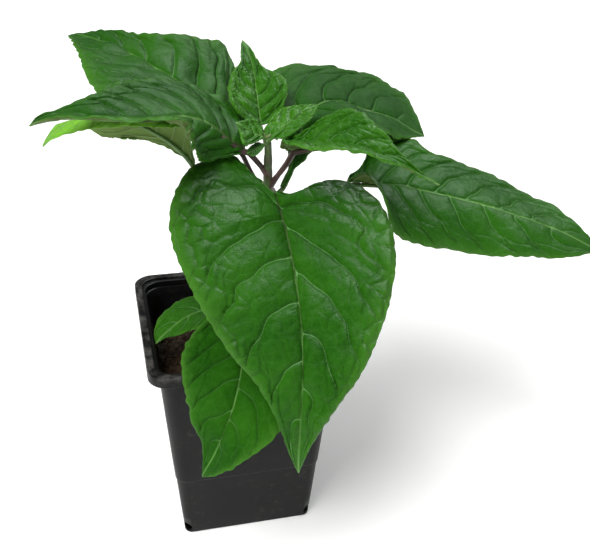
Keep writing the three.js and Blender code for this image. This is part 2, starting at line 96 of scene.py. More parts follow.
# The length of the swelling where a leaf leaves, and of the scar a little above it
NODE_LENGTH = 2.2
SCAR_RISE, SCAR_LENGTH = 3, 0.5

# Leaves
BLADE_THICKNESS = 0.45
PETIOLE_RADIUS = 1.25
VEIN_SLANT = 0.62
VEIN_BEND = 0.35
MIDRIB_STEPS = 160
STALK_STEPS = 40
STALK_SIDES = 20
STALK_GROOVE = 0.16
UNDER_VEIN_RISE = 0.16
COLUMN_CROWDING = 0.8
BUD_TURNS = (20, 95, 150, 215, 290, 340)

# Quilting: depths in mm for a quilt of 1, and widths and sizes in mm for the widest blade
WIDEST_BLADE = 90
VEIN_SWEEP = 0.85
VEIN_WANDER = 0.06
LOOP_REACH = 0.6
LOOP_RISE = 0.24
LOOP_WANDER = 0.05
LOOP_DEPTH, LOOP_WIDTH = 0.06, 0.9
VEIN_DEPTH, VEIN_WIDTH = 0.3, 0.7
PANEL_DEPTH, PANEL_WIDTH = 0.95, 5
CELL_SIZE, CELL_DEPTH, CELL_WIDTH = 8.5, 0.42, 1.1
CRINKLE_SIZE, CRINKLE_DEPTH, CRINKLE_WIDTH = 4.5, 0.1, 0.6
TIP_FADE = 0.3

# The veins' colour and bump: half widths of lines and valleys, and the net's and pebbles' sizes, in mm
SIDE_VEIN_HALF = 0.5
LOOP_VEIN_HALF = 0.3
CELL_VEIN_HALF = 0.5
MIDRIB_HALF = 0.75
VALLEY_HALVES = (1.5, 1.2, 1.1)
NET_SIZE = 4.2
PEBBLE_SIZE = 1.3

# Where the left and right side veins leave the midrib of a leaf that lists none, as shares of its length
VEIN_SHARES = (
    (0.01, 0.05, 0.12, 0.21, 0.32, 0.44, 0.57, 0.7, 0.83), (0.02, 0.08, 0.16, 0.26, 0.37, 0.5, 0.63, 0.77),
)

# A stalk carries the blade's vein fields too, at values where no vein shows
STALK_FIELDS = dict(
    phase=0.5, pace=0.1, loop=9, reach=0, wide=9, webbed=0, across=9, lengthwise=0, margin=0, matt=0,
)

# The camera, in metres and degrees, as in the photograph
CAMERA_PLACE = (-0.057, -0.339, 0.325)
CAMERA_YAW, CAMERA_PITCH, CAMERA_ROLL = 14.1, 30.1, 1.8
LENS = 52.3
SENSOR_WIDTH = 36

# Stage
FLOOR_REACH = 20000
BACKDROP_RADIUS = 8000
BACKDROP_SIDES = 96
BACKDROP_HEIGHTS = (-1000, 20000)
FLOOR_GLOW = 0.22
# The sky's glow rises from the first strength to the second between these shares of its height
GLOW_FROM, GLOW_TO = 0.68, 1.0
GLOW_LOW, GLOW_HIGH = 0.12, 1.3
# How wide the lamps look from the plant, in degrees
LAMP_WIDTH = 34

# Each leaf: the stem height its stalk leaves (root), where its blade starts (base), its midrib's heading and
# pitch from base to tip, its roll, the fold and curl of its left and right half, and each half's outline as
# (along the midrib, out from it) from base to just short of the tip, where rows lines cross it. rise and via
# bend its stalk and stalk scales it. veins are where each half's side veins start. Its age value is 0 for a
# young leaf and 1 for a grown one; below 0 it paints the blade brighter as painted light shining through it,
# and above 1 darker as painted shade. purple is how far its stalk has coloured, and rib_fade and purple_ends
# how soon that ends; quilt, webbed, crinkle and billow scale its relief, and matt dulls it.
LEAVES = dict(leaf_front=dict(
    root=158, base=(15, -11, 173), length=128, width=92, rows=16, quilt=1.7, webbed=1, age_and_painted_light=1, purple=1,
    rib_fade=1.6, veins=([1, 9, 19, 41, 63, 84], [2, 7, 15, 31, 53, 76, 98]), purple_ends=3,
    heading=[-84, -95, -124], pitch=[-27, -52, -98], roll=[-3, -8, -4], fold=([5], [17]), curl=([-13], [-18]),
    left=[(0, 1), (5, 10), (1, 19), (-1, 27), (3, 36), (12, 43), (28, 45), (50, 39), (67, 31), (81, 23),
          (92, 15), (109, 6)],
    right=[(0, 1), (-7, 7), (-13, 11), (-20, 15), (-19, 24), (-12, 36), (4, 46), (21, 48), (42, 43), (59, 36),
           (73, 28), (87, 17), (102, 9)],
), leaf_low_front=dict(
    root=104, base=(-1, -26, 121), length=74, width=52, rows=12, quilt=1.1, age_and_painted_light=1.1, matt=1, purple=0.3,
    veins=([2, 8, 19, 32, 46, 58], [1, 7, 17, 29, 43, 56]), heading=[-97, -120, -170], pitch=[-27, -45, -62],
    roll=[3, 11, 7], fold=([15], [13]), curl=([-17], [-7]),
    left=[(0, 1), (1, 10), (6, 18), (15, 24), (24, 26), (35, 25), (46, 22), (56, 16), (66, 9)],
    right=[(0, 1), (0, 9), (5, 18), (13, 23), (23, 26), (33, 24), (43, 20), (53, 15), (64, 6)],
), leaf_low_inner=dict(
    root=98, base=(-3, 3, 110), length=41, width=27, rows=9, quilt=0.4, age_and_painted_light=0.9, purple=0.2,
    veins=([2, 10, 20, 31], [5, 15, 26]), heading=[186, 201, 222], pitch=[3, -12, -27], roll=[11, 11, 17],
    fold=([7], [6]), curl=([-14], [-20]), left=[(0, 2), (6, 8), (14, 11), (22, 9), (30, 6), (36, 2)],
    right=[(0, 1), (4, 6), (11, 10), (19, 12), (29, 9), (36, 5)],
), leaf_back_left=dict(
    root=168, via=[(7, 4, 174)], base=(3, 11, 186), length=112, width=70, rows=15, quilt=1.5, billow=0.9,
    age_and_painted_light=1.1, matt=0.6, purple=1, heading=[152, 133, 120], pitch=[53, 15, -10], roll=[0, 6, 4],
    fold=([9, 16, 9], [0, 14, 7]), curl=([-26], [-16]),
    left=[(0, 2), (5, 12), (12, 20), (20, 25), (30, 30), (40, 35), (49, 37), (62, 30), (73, 22), (86, 14),
          (99, 7)],
    right=[(0, 1), (3, 11), (10, 21), (21, 31), (35, 38), (45, 40), (52, 31), (69, 16), (86, 10), (99, 5)],
), leaf_left=dict(
    root=177, rise=1.1, stalk=1.2, base=(4, 0, 189), length=97, width=56, rows=15, quilt=1.5, billow=0.2,
    age_and_painted_light=1.15, matt=0.5, purple=1, heading=[200, 204, 204, 205, 180, 180], pitch=[38, 40, 7, 12, 4, -16],
    roll=[13, 11, 9], fold=([-86, -67, -42, 21, 27, 30, 45], [27, 12, 19, 19]),
    curl=([-9, -4, -2, -12, -5], [-1]),
    left=[(0, 1), (3, 4), (10, 10), (18, 15), (28, 15), (38, 16), (46, 22), (54, 26), (65, 18), (79, 10),
          (89, 3)],
    right=[(0, 1), (-4, 8), (-4, 16), (1, 22), (11, 23), (24, 23), (37, 24), (50, 22), (65, 16), (80, 8),
           (92, 3)],
), leaf_left_under=dict(
    root=153, base=(-17, -1, 183), length=74, width=44, rows=13, quilt=0.5, age_and_painted_light=-0.8, purple=0,
    heading=[168, 178, 188, 194, 195], pitch=[58, 36, 23, -12, -53], roll=[-44, -45, -37, -13, 0],
    fold=([26, 37, 27, 14, 3], [-10, -24, -21, 8]), curl=([-53, -97, -105, -95, -47], [-14]),
    left=[(2, 1), (6, 3), (13, 10), (17, 18), (24, 23), (36, 23), (44, 20), (51, 16), (60, 11)],
    right=[(0, 1), (8, 3), (18, 5), (26, 7), (36, 11), (45, 14), (54, 9), (63, 5)],
), leaf_back_right=dict(
    root=163, base=(22, 4, 168), length=102, width=64, rows=16, quilt=1.2, billow=0.5, age_and_painted_light=1.35, matt=1.4,
    purple=0.1, heading=[29, 47, 16, 1, -6], pitch=[55, 59, -11, -23, -31], roll=[-6, -12, -16],
    fold=([25, 19, 14], [9, 4, -2]), curl=([-14], [-11]),
    left=[(0, 1), (5, 1), (10, 1), (15, 3), (21, 6), (27, 12), (34, 20), (40, 27), (46, 26), (56, 24),
          (66, 26), (76, 28), (84, 25), (93, 18)],
    right=[(0, 1), (4, 2), (10, 3), (15, 6), (20, 9), (28, 14), (38, 18), (50, 20), (62, 20), (75, 18),
           (89, 11)],
), leaf_right_upper=dict(
    root=170, via=[(20, -2, 179), (24, -6, 186)], stalk=1.2, base=(23, -9, 191), length=67, width=44, rows=13,
    quilt=1.2, crinkle=4, age_and_painted_light=0.75, purple=1, veins=([2, 9, 18, 29, 41, 53], [1, 6, 14, 25, 36, 48]),
    heading=[-41, -37, -28, -17], pitch=[23, 7, -20, -25], roll=[1, -1, 4], fold=([42, 35, 24], [41, 20, 6]),
    curl=([0], [-48]),
    left=[(0, 1), (-5, 4), (-4, 6), (4, 7), (12, 13), (21, 18), (28, 16), (36, 11), (43, 7), (53, 2)],
    right=[(0, 1), (-3, 3), (-2, 6), (4, 12), (12, 17), (22, 15), (33, 10), (42, 8), (53, 3)],
), leaf_right=dict(
    root=157, rise=0.1, base=(51, 0, 170), length=126, width=66, rows=16, quilt=1.3, age_and_painted_light=1.2, matt=0.4,
    purple=0.1, heading=[-3, -18, -13, -14, -6], pitch=[-3, -8, -15, -20, -31], roll=[-5, -5, -12],
    fold=([23, 23, 10, 4, 30], [88, 5, -18, -32, -25, -29, -25]), curl=([2], [-89, -20]),
    left=[(0, 1), (2, 4), (6, 8), (9, 13), (12, 23), (19, 29), (28, 29), (37, 24), (53, 25), (76, 24),
          (98, 19), (111, 10)],
    right=[(0, 1), (3, 4), (5, 8), (7, 14), (12, 19), (19, 24), (29, 26), (41, 26), (54, 24), (72, 22),
           (92, 17), (109, 11)],
), leaf_crown=dict(
    root=182, via=[(16, 5, 187)], stalk=0.8, base=(13, 9, 196), length=41, width=27, rows=12, quilt=0.9,
    crinkle=4, age_and_painted_light=0.72, purple=0.2, veins=([2, 8, 16, 25, 33], [1, 6, 13, 22, 31]), heading=[94, 90, 116],
    pitch=[56, 43, 46], roll=[-4, -2, -5], fold=([10], [15]),
    left=[(0, 1), (2, 7), (7, 12), (11, 13), (16, 13), (22, 11), (26, 9), (29, 6), (37, 3)],
    right=[(0, 1), (1, 6), (5, 10), (9, 12), (15, 14), (21, 12), (25, 6), (30, 3), (36, 2)],
))

# The young leaves of the growing tip
YOUNG_LEAVES = [dict(
    root=191, base=(15, -2, 194), length=28, width=16, rows=8, quilt=0.8, crinkle=4, age_and_painted_light=0.35, purple=0,
    veins=([1, 6, 12, 18, 23], [3, 9, 15, 21]), heading=[16, 24, 30], pitch=[31, 23, 9], roll=[-1, -2, 0],
    fold=([17, 14], [4, 5]), curl=([-8], [-23]), left=[(0, 1), (3, 5), (6, 8), (13, 9), (17, 7), (23, 3)],
    right=[(1, 1), (2, 5), (5, 7), (12, 7), (19, 6), (24, 3)],
), dict(
    root=191, base=(12, 0, 194), length=14, width=14, rows=6, quilt=0.8, crinkle=4, age_and_painted_light=0.3, purple=0,
    veins=([1, 4, 8], [2, 5, 9]), heading=[187, 182], pitch=[24, 41], roll=[5, 6],
    fold=([-30, -31], [34, 28]), left=[(0, 1), (3, 4), (6, 7), (9, 9), (11, 4)],
    right=[(0, 1), (1, 4), (4, 7), (8, 6), (11, 3)],
), dict(
    root=190, base=(12, -1, 191), length=9, width=9, rows=4, quilt=0.15, age_and_painted_light=0.7, purple=0,
    heading=[213, 203], pitch=[-12, -14], roll=[-1, 1], fold=([-18, -17], [9, 7]),
    left=[(0, 1), (2, 2), (5, 3), (8, 3)], right=[(0, 2), (1, 3), (4, 3), (7, 2)],
), dict(
    root=191, base=(14, -2, 193), length=10, width=9, rows=5, quilt=0.25, age_and_painted_light=0, purple=0, heading=[12, 19],
    pitch=[42, 30], roll=[-2, -1], fold=([26, 15], [15, 9]), left=[(0, 1), (2, 5), (6, 6), (9, 3)],
    right=[(0, 1), (2, 3), (6, 3), (9, 2)],
)]


def through(values, t):
    """Smooth numbers at t, from 0 to 1, through evenly spaced numbers."""
    values = np.asarray(values, float)
    last = len(values) - 1
    if last == 0:
        return np.full(np.shape(t), values[0])
    place = np.clip(t, 0, 1) * last
    i = np.minimum(np.floor(place).astype(int), last - 1)
    f = place - i
    padded = np.concatenate([[2 * values[0] - values[1]], values, [2 * values[-1] - values[-2]]])
    p0, p1, p2, p3 = (padded[i + k] for k in range(4))
    square = 2 * p0 - 5 * p1 + 4 * p2 - p3
    cube = 3 * p1 - p0 - 3 * p2 + p3
    return 0.5 * (2 * p1 + (p2 - p0) * f + square * f**2 + cube * f**3)


def through_points(points, t):
    return np.stack([through([p[axis] for p in points], t) for axis in range(len(points[0]))], -1)


def unit(vectors):
    return vectors / np.maximum(np.linalg.norm(vectors, axis=-1, keepdims=True), 1e-9)


def waves(points, wavelength, seed, count=14):
    """A smooth repeatable wander of about -1 to 1 with bumps of one wavelength."""
    points = np.asarray(points, float)
    rng = np.random.default_rng(seed)
    total = np.zeros(points.shape[:-1])
    for _ in range(count):
        direction = unit(rng.normal(size=points.shape[-1]))
        pace = 2 * math.pi / (wavelength * rng.uniform(0.75, 1.5))
        total += np.sin(points @ direction * pace + rng.uniform(0, 2 * math.pi))
    return total * math.sqrt(1 / count)


def leaf_frame(leaf, share):
    """The midrib's direction and the blade's sideways and upward directions at a share of its length."""
    heading, pitch, roll = (
        np.radians(through(leaf[key], share))[..., None] for key in ("heading", "pitch", "roll")
    )
    level_ahead = np.concatenate([np.cos(heading), np.sin(heading), 0 * heading], -1)
    forward = np.cos(pitch) * level_ahead + np.sin(pitch) * np.array([0, 0, 1.0])
    level = np.concatenate([np.sin(heading), -np.cos(heading), 0 * heading], -1)
    lifted = np.cross(level, forward)
    side = level * np.cos(roll) + lifted * np.sin(roll)
    return forward, side, lifted * np.cos(roll) - level * np.sin(roll)


def midrib_of(leaf):
    forward = leaf_frame(leaf, (np.arange(MIDRIB_STEPS) + 0.5) / MIDRIB_STEPS)[0]
    steps = np.cumsum(forward * leaf["length"] / MIDRIB_STEPS, axis=0)
    return np.vstack([np.zeros(3), steps]) + np.array(leaf["base"], float)


def midrib_at(leaf, midrib, along):
    share = along / leaf["length"]
    place = np.clip(share, 0, 1) * MIDRIB_STEPS
    k = np.minimum(np.floor(place).astype(int), MIDRIB_STEPS - 1)
    f = (place - k)[..., None]
    point = midrib[k] * (1 - f) + midrib[k + 1] * f
    return point + leaf_frame(leaf, share)[0] * np.minimum(along, 0)[..., None]


def blade_point(leaf, midrib, along, out):
    """The blade's middle surface, left of the midrib where out is negative."""
    share = along / leaf["length"]
    _, side, up = leaf_frame(leaf, share)
    fold, bend = (
        np.radians(np.where(out > 0, through(right, share), through(left, share)))
        for left, right in (leaf["fold"], leaf.get("curl", ([0], [0])))
    )
    curl = bend / (leaf["width"] / 2)
    curl = np.where(np.abs(curl) < 1e-6, 1e-6, curl)
    reach = np.abs(out)
    across = (np.sin(fold + curl * reach) - np.sin(fold)) / curl
    rise = (np.cos(fold) - np.cos(fold + curl * reach)) / curl
    middle = midrib_at(leaf, midrib, along)
    return middle + side * (np.sign(out) * across)[..., None] + up * rise[..., None]


def outlines(leaf, t):
    """The blade's left and right edges at t from base to tip, as (along the midrib, out from it)."""
    return [through_points([*leaf[half], (leaf["length"], 0)], t) for half in ("left", "right")]


def row_feet(leaf):
    """Where each row of the blade leaves the midrib, from the base to the tip."""
    left, right = outlines(leaf, np.arange(leaf["rows"]) / leaf["rows"])
    wanted = (left[:, 0] + right[:, 0] - VEIN_SLANT * (left[:, 1] + right[:, 1])) / 2
    least = leaf["length"] / (5 * leaf["rows"])
    feet = []
    foot = -least
    for want in wanted:
        foot = max(foot + least, want)
        feet.append(foot)
    return feet + [leaf["length"]]


def slopes(points, lines):
    """How fast each field of lines changes per millimetre over a grid of points."""
    by_row, by_column = np.gradient(points, axis=0), np.gradient(points, axis=1)
    e, f, g = ((a * b).sum(-1) for a, b in ((by_row, by_row), (by_row, by_column), (by_column, by_column)))
    area = np.maximum(e * g - f * f, 1e-9)
    rates = []
    for line in lines:
        a, b = np.gradient(line, axis=0), np.gradient(line, axis=1)
        rates.append(np.sqrt(np.maximum(g * a * a - 2 * f * a * b + e * b * b, 1e-12) / area))
    return rates


def crease(distance, width):
    """0 on a line, rising sharply to 1 within about a width of it."""
    return 1 - np.exp(-distance / width)


def cell_edges(x, y, size, seed):
    """The distance in mm to the edges of irregular cells of a size."""
    u, v = x / size, y / size
    column, row = np.floor(u), np.floor(v)
    nearest = np.full(np.shape(u), 9.0)
    second = nearest.copy()
    for i in (-1, 0, 1):
        for j in (-1, 0, 1):
            a, b = column + i, row + j
            mix = np.sin(a * 127.1 + b * 311.7 + seed * 17.3) * 43758.5453
            spin = np.sin(a * 269.5 + b * 183.3 + seed * 9.1) * 24634.6345
            reach = np.hypot(a + mix - np.floor(mix) - u, b + spin - np.floor(spin) - v)
            second = np.minimum(second, np.maximum(nearest, reach))
            nearest = np.minimum(nearest, reach)
    return (second - nearest) * size / 2


def vein_phase(leaf, foot, q):
    """A count that passes a whole number at each side vein, a little ahead on the right half."""
    length = leaf["length"]
    halves = leaf.get("veins", [[share * length for share in shares] for shares in VEIN_SHARES])
    left, right = (
        np.interp(foot, [-6, *starts, length * 1.08], np.arange(len(starts) + 2)) for starts in halves
    )
    return np.where(q < 0, left, right)


def vein_relief(leaf, points, along, foot, q, out, seed):
    """The height of the quilted blade over its grid, and the fields that its veins follow."""
    reach = np.abs(q)
    wander = waves(np.stack([along, out], -1), 14, seed)
    phase = vein_phase(leaf, foot, q) + VEIN_WANDER * wander - VEIN_SWEEP * reach**2.2
    between = phase - np.floor(phase)
    arch = reach - (LOOP_REACH + LOOP_RISE * between**1.4 + LOOP_WANDER * wander)
    phase_rate, reach_rate = slopes(points, [phase, reach])
    side = np.abs(phase - np.round(phase)) / np.maximum(phase_rate, 1e-6)
    loop = arch / np.maximum(reach_rate, 1e-6)
    beyond = np.clip(arch * 12, 0, 1)
    size = 0.4 + 0.6 * leaf["width"] / WIDEST_BLADE
    wide = cell_edges(along - 1.2 * wander, out, CELL_SIZE * size, seed)
    fine = cell_edges(along - 3 * wander, out, CRINKLE_SIZE * size, seed + 3)
    webbed = leaf.get("webbed", 0.3) * (0.45 + 0.55 * beyond)
    main = np.minimum(np.abs(out), side + 3 * beyond)
    height = VEIN_DEPTH * crease(main, VEIN_WIDTH * size) + PANEL_DEPTH * crease(main, PANEL_WIDTH * size)
    height -= LOOP_DEPTH * np.exp(-np.abs(loop) / (LOOP_WIDTH * size)) * crease(main, 2 * size)
    height += CELL_DEPTH * webbed * crease(wide, CELL_WIDTH * size) * crease(main, 1.2 * size)
    crinkle = CRINKLE_DEPTH * leaf.get("crinkle", 0.3)
    height += crinkle * crease(fine, CRINKLE_WIDTH * size) * crease(main, size)
    edge = np.clip((1 - reach) / 0.06, 0, 1)
    tip = np.clip((1 - along / leaf["length"]) / TIP_FADE, 0, 1)
    fade = np.clip(foot / leaf["length"] / 0.02 + 0.3, 0, 1) * tip
    side_vein = np.exp(-((side / 0.5) ** 2)) * (1 - 0.75 * reach)
    fields = {
        "phase": phase, "pace": np.clip(phase_rate, 0.01, 3), "loop": loop, "reach": reach,
        "wide": wide, "webbed": webbed, "across": out, "lengthwise": along,
        "vein": np.maximum(side_vein, 0.3 * np.exp(-((loop / 0.5) ** 2))),
    }
    return height * leaf["quilt"] * fade * (0.4 + 0.6 * edge), fields


def sheet_normals(points):
    return unit(np.cross(np.gradient(points, axis=1), np.gradient(points, axis=0)))


def grid_faces(index):
    """The quads of a grid of points, and the ring of points round its border."""
    quads = np.stack([index[:-1, :-1], index[:-1, 1:], index[1:, 1:], index[1:, :-1]], -1).reshape(-1, 4)
    return quads, np.concatenate([index[0, :-1], index[:-1, -1], index[-1, :0:-1], index[:0:-1, 0]])


def sheet_faces(rows, width):
    """The faces of a closed sheet, and for each its surface: 0 for the top and rim, 1 for the underside."""
    count = rows * width
    quads, ring = grid_faces(np.arange(count).reshape(rows, width))
    after = np.roll(ring, -1)
    rim = np.stack([ring, ring + count, after + count, after], -1)
    surface = np.repeat([0, 1, 0], [len(quads), len(quads), len(rim)])
    return np.vstack([quads, quads[:, ::-1] + count, rim]), surface


def blade_grid(leaf, rows, columns):
    """A grid of a blade: shares along and across it, the feet of its rows, and its (along, out) in mm."""
    shares = np.linspace(0, 1, rows)
    crowd = math.pi / 2 * COLUMN_CROWDING
    columns_across = np.sin(np.linspace(-crowd, crowd, 2 * columns + 1)) / math.sin(crowd)
    t, q = np.meshgrid(shares, columns_across, indexing="ij")
    foot = through(row_feet(leaf), shares)[:, None] + 0 * q
    bend = 1 + VEIN_BEND * np.clip(3 * foot / leaf["length"], 0, 1)
    left, right = outlines(leaf, shares)
    edge = np.where(q[..., None] < 0, left[:, None], right[:, None])
    along = foot + (edge[..., 0] - foot) * np.abs(q) ** bend
    return t, q, foot, along, np.sign(q) * np.maximum(edge[..., 1], 0) * np.abs(q)


def margin_waves(place, t, q, small, seed):
    """How far the margin ripples up and down, and how far its teeth stand out, in mm."""
    span = np.linalg.norm(np.diff(place[:, [0, -1]], axis=0), axis=-1)
    run = np.vstack([np.zeros(2), np.cumsum(span, axis=0)])
    run = np.where(q < 0, run[:, :1], run[:, 1:] + 300)
    frill = np.abs(q) ** 5 * np.clip(t / 0.05, 0, 1) * np.clip((1 - t) / 0.1, 0, 1)
    where = np.stack([run, q], -1)
    ripple = waves(where, 13 * small + 1, seed + 2) * 0.6 * small
    ripple += waves(where, 4.2 * small + 0.5, seed + 3) * 0.24 * small
    tooth = waves(np.stack([run, q * 0], -1), 3.4 * small + 0.6, seed + 4) * 0.26 * small
    return frill * ripple, frill * tooth


def blade_mesh(leaf, rows, columns, seed):
    """A closed blade as vertices, faces, the faces' surfaces and named values for each vertex."""
    midrib = midrib_of(leaf)
    small = min(1, leaf["width"] / 50)
    t, q, foot, along, out = blade_grid(leaf, rows, columns)
    ripple, tooth = margin_waves(blade_point(leaf, midrib, along, out), t, q, small, seed)
    out = out * (1 + tooth / np.maximum(np.abs(out), 4))
    place = blade_point(leaf, midrib, along, out)
    height, fields = vein_relief(leaf, place, along, foot, q, out, seed)
    flat = np.stack([along, out], -1)
    soft = waves(flat, 5.5 * small + 1, seed + 5) * 0.07 * leaf["quilt"]
    soft += waves(flat, 17 * small + 2, seed + 6) * leaf.get("billow", 0.25) * (1 - 0.8 * q**4)
    place = place + sheet_normals(place) * (height + soft + ripple)[..., None]
    normal = sheet_normals(place)
    thick = BLADE_THICKNESS * (0.5 + 0.5 * np.clip((1 - np.abs(q)) / 0.04, 0, 1)) * (0.7 + 0.3 * small)
    top = place + normal * (thick / 2)[..., None]
    bottom = place - normal * (thick / 2 + UNDER_VEIN_RISE * fields.pop("vein") * small)[..., None]
    fields |= {
        "margin": np.abs(q) ** 14,
        "age_and_painted_light": leaf["age_and_painted_light"],
        "matt": leaf.get("matt", 0),
        "purple": leaf["purple"] * np.clip(1.1 - foot * leaf.get("rib_fade", 3.6) / leaf["length"], 0, 1),
        "stripe": 0,
    }
    values = {key: np.tile((field + 0.0 * q).ravel(), 2) for key, field in fields.items()}
    faces, surface = sheet_faces(*q.shape)
    return np.vstack([top.reshape(-1, 3), bottom.reshape(-1, 3)]), faces, surface, values


def stem_point(z):
    t = np.linspace(0, 1, 200)
    path = through_points(STEM_PATH, t)
    return path[np.abs(path[:, 2] - z).argmin()]


def stalk_path(leaf, midrib):
    """The stalk's centre line from the stem to the blade, as a cubic curve."""
    start, end = stem_point(leaf["root"]), midrib[0]
    forward = leaf_frame(leaf, np.zeros(1))[0][0]
    reach = np.linalg.norm(end - start)
    outward = unit((end - start) * (1, 1, 0)) + (0, 0, leaf.get("rise", 0.7))
    controls = [start + unit(outward) * reach * 0.4, end - forward * reach * 0.35]
    for k, point in enumerate(leaf.get("via", [])):
        controls[k] = np.array(point, float)
    t = np.linspace(0, 1, STALK_STEPS)[:, None]
    return (start * (1 - t) ** 3 + 3 * controls[0] * t * (1 - t) ** 2
            + 3 * controls[1] * t**2 * (1 - t) + end * t**3)


def ring_faces(rings, sides, flipped=False):
    """Faces that join rings of points in turn and close both ends on two last points."""
    index = np.arange(rings * sides).reshape(rings, sides)
    beside = np.roll(index, -1, axis=1)
    centre = np.full(sides, rings * sides)
    quads = np.stack([index[:-1], beside[:-1], beside[1:], index[1:]], -1).reshape(-1, 4)
    start = np.stack([beside[0], index[0], centre, centre], -1)
    end = np.stack([index[-1], beside[-1], centre + 1, centre + 1], -1)
    faces = np.vstack([quads, start, end])
    return np.roll(faces[:, ::-1], 1, axis=1) if flipped else faces


def tube(path, radius, up, sides=STALK_SIDES, groove=0.0):
    """A closed round bar along a path, flattened towards up where groove is more than 0."""
    tangent = unit(np.gradient(path, axis=0))
    across = unit(np.cross(tangent, up))
    above = np.cross(across, tangent)
    angle = 2 * math.pi * np.arange(sides) / sides
    from_top = np.angle(np.exp(1j * (angle - math.pi / 2)))
    dent = 1 - groove * np.exp(-((from_top / 0.55) ** 2))
    ring = (across[:, None] * (np.cos(angle) * dent)[None, :, None]
            + above[:, None] * (np.sin(angle) * dent)[None, :, None])
    points = path[:, None] + ring * np.asarray(radius)[:, None, None]
    vertices = np.vstack([points.reshape(-1, 3), path[:1], path[-1:]])
    faces = ring_faces(len(path), sides, flipped=True)
    stripe = np.tile(np.exp(-((from_top / 0.5) ** 2)), len(path))
    return vertices, faces, np.append(stripe, [0, 0])


def stalk_mesh(leaf):
    """The stalk, carried on under the blade as its raised midrib."""
    midrib = midrib_of(leaf)
    stalk = stalk_path(leaf, midrib)
    along = np.linspace(0, 0.97, 60)[1:] * leaf["length"]
    up = leaf_frame(leaf, along / leaf["length"])[2]
    size = PETIOLE_RADIUS * leaf.get("stalk", 1) * (0.62 if leaf["length"] < 30 else 1)
    slim = np.linspace(1, 0.12, len(along)) ** 1.15 * size * 0.82
    under = midrib_at(leaf, midrib, along) - up * (slim * 0.95 + 0.1)[:, None]
    t = np.linspace(0, 1, STALK_STEPS)
    thick = size * (1.35 - 0.55 * np.minimum(1, t * 4) + 0.12 * t)
    thick = np.append(thick[:-3], np.linspace(thick[-3], slim[0], 3))
    sink = np.clip((t - 0.8) / 0.2, 0, 1)[:, None] * up[0] * (slim[0] * 0.8)
    path = np.vstack([stalk - sink, under])
    ups = np.vstack([np.tile(up[0], (STALK_STEPS, 1)), up])
    vertices, faces, stripe = tube(path, np.append(thick, slim), ups, groove=STALK_GROOVE)
    share = np.append(np.zeros(STALK_STEPS), along / leaf["length"])
    share = np.append(np.repeat(share, STALK_SIDES), [0, 1])
    values = {
        "age_and_painted_light": leaf["age_and_painted_light"],
        "purple": leaf["purple"] * np.clip(1.1 - share * leaf.get("purple_ends", 1.6), 0, 1),
        "stripe": stripe,
    } | STALK_FIELDS
    values = {key: number + np.zeros(len(vertices)) for key, number in values.items()}
    return vertices, faces, np.full(len(faces), 2), values


def joined(parts):
    """Several meshes as one: vertices, faces, surfaces and values."""
    starts = np.cumsum([0] + [len(part[0]) for part in parts])
    return (
        np.vstack([part[0] for part in parts]),
        np.vstack([part[1] + start for part, start in zip(parts, starts)]),
        np.concatenate([part[2] for part in parts]),
        {name: np.concatenate([part[3][name] for part in parts]) for name in parts[0][3]},
    )


def make_object(name, materials, vertices, faces, surface=0, values=None):
    mesh = bpy.data.meshes.new(name)
    corners = [tuple(dict.fromkeys(face)) for face in np.asarray(faces).tolist()]
    mesh.from_pydata((np.asarray(vertices) * MM).tolist(), [], corners)
    for key, numbers in (values or {}).items():
        mesh.attributes.new(key, "FLOAT", "POINT").data.foreach_set("value", np.asarray(numbers, np.float32))
    for material in materials:
        mesh.materials.append(material)
    mesh.polygons.foreach_set("material_index", (np.zeros(len(corners)) + surface).astype(np.int32))
    mesh.polygons.foreach_set("use_smooth", np.ones(len(corners), bool))
    mesh.validate()
    piece = bpy.data.objects.new(name, mesh)
    bpy.context.scene.collection.objects.link(piece)
    return piece


def place_piece(piece, slot, *nodes):
    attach(piece, "root")
    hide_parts(*nodes)


# Materials


